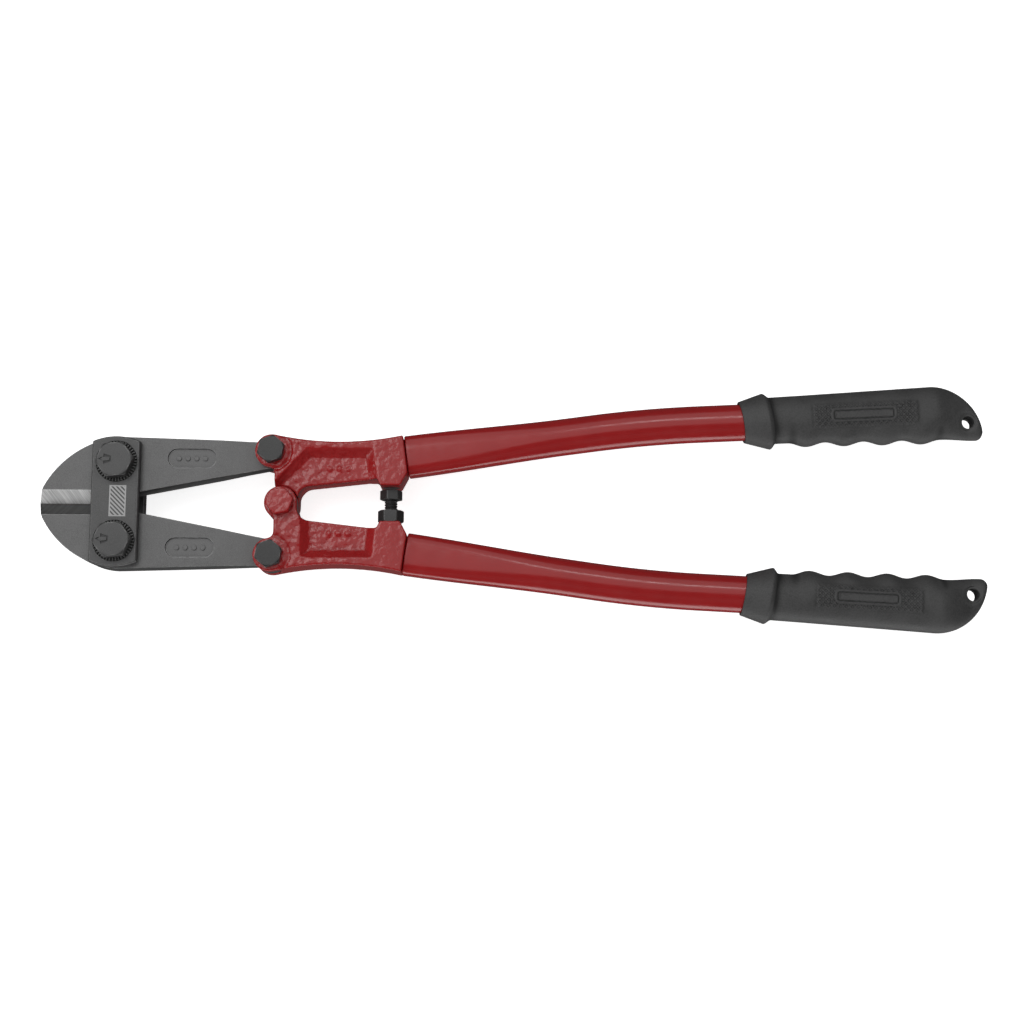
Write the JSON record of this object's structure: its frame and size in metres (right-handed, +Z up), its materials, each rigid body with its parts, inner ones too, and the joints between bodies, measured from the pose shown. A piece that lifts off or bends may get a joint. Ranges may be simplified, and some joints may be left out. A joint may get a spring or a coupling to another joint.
{
  "type": "bolt cutters",
  "caption": "Long-handled bolt cutters with forged jaws held by cover plates, a toggle linkage in cast handle heads, steel tube handles and rubber grips.",
  "frame": {"origin": "middle of the closed tool's box, on the surface that it lies on", "axes": "+X from the blades to the grips, +Y across the two handles, +Z up along the pivot bolts"},
  "size_m": [0.4546, 0.1198, 0.0353],
  "materials": {
    "jaw_steel": "dark grey oxide on forged steel, bright ground blade bevels",
    "bolt_steel": "black oxide",
    "enamel": "glossy dark red enamel, over cast skin on the handle heads",
    "grip_rubber": "matt black, fine leather grain"
  },
  "bodies": {
    "handle_lower": {"handle_head_lower": "enamel", "tube_lower": "enamel", "grip_lower": "grip_rubber", "pivot_bolt": "enamel", "pivot_nut": "bolt_steel", "joint_bolt_lower": "bolt_steel", "joint_nut_lower": "bolt_steel", "stop_lock_nut": "bolt_steel"},
    "handle_upper": {"handle_head_upper": "enamel", "tube_upper": "enamel", "grip_upper": "grip_rubber", "joint_bolt_upper": "bolt_steel", "joint_nut_upper": "bolt_steel"},
    "jaw_lower": {"jaw_lower": "jaw_steel"},
    "jaw_upper": {"jaw_upper": "jaw_steel"},
    "cover_plates": {"cover_plate_front": "jaw_steel", "cover_plate_rear": "jaw_steel", "jaw_bolt_upper": "bolt_steel", "jaw_bolt_lower": "bolt_steel", "jaw_nut_upper": "bolt_steel", "jaw_nut_lower": "bolt_steel"},
    "stop_screw": {"stop_screw": "bolt_steel"}
  },
  "joints": [
    {"name": "handles_open", "type": "hinge", "parent": "handle_lower", "child": "handle_upper", "pos_m": [-0.11058, 0, 0.0182], "axis": [0, 0, 1], "range_deg": [0, 90]},
    {"name": "lower_jaw_swing", "type": "hinge", "parent": "handle_lower", "child": "jaw_lower", "pos_m": [-0.11528, -0.0251, 0.0182], "axis": [0, 0, 1], "range_deg": [0, 53.3]},
    {"name": "plates_swing", "type": "hinge", "parent": "jaw_lower", "child": "cover_plates", "pos_m": [-0.18918, -0.01915, 0.0182], "axis": [0, 0, 1], "range_deg": [-8.3, 0]},
    {"name": "upper_jaw_swing", "type": "hinge", "parent": "handle_upper", "child": "jaw_upper", "pos_m": [-0.11528, 0.0251, 0.0182], "axis": [0, 0, 1], "range_deg": [-53.3, 0]},
    {"name": "stop_screw_travel", "type": "slide", "parent": "handle_lower", "child": "stop_screw", "axis": [0, 1, 0], "range_m": [-0.004, 0.001]}
  ],
  "couplings": [
    {"joint": "lower_jaw_swing", "follows": "handles_open", "ratio": 0.59175},
    {"joint": "plates_swing", "follows": "handles_open", "ratio": -0.09175},
    {"joint": "upper_jaw_swing", "follows": "handles_open", "ratio": -0.59175}
  ]
}
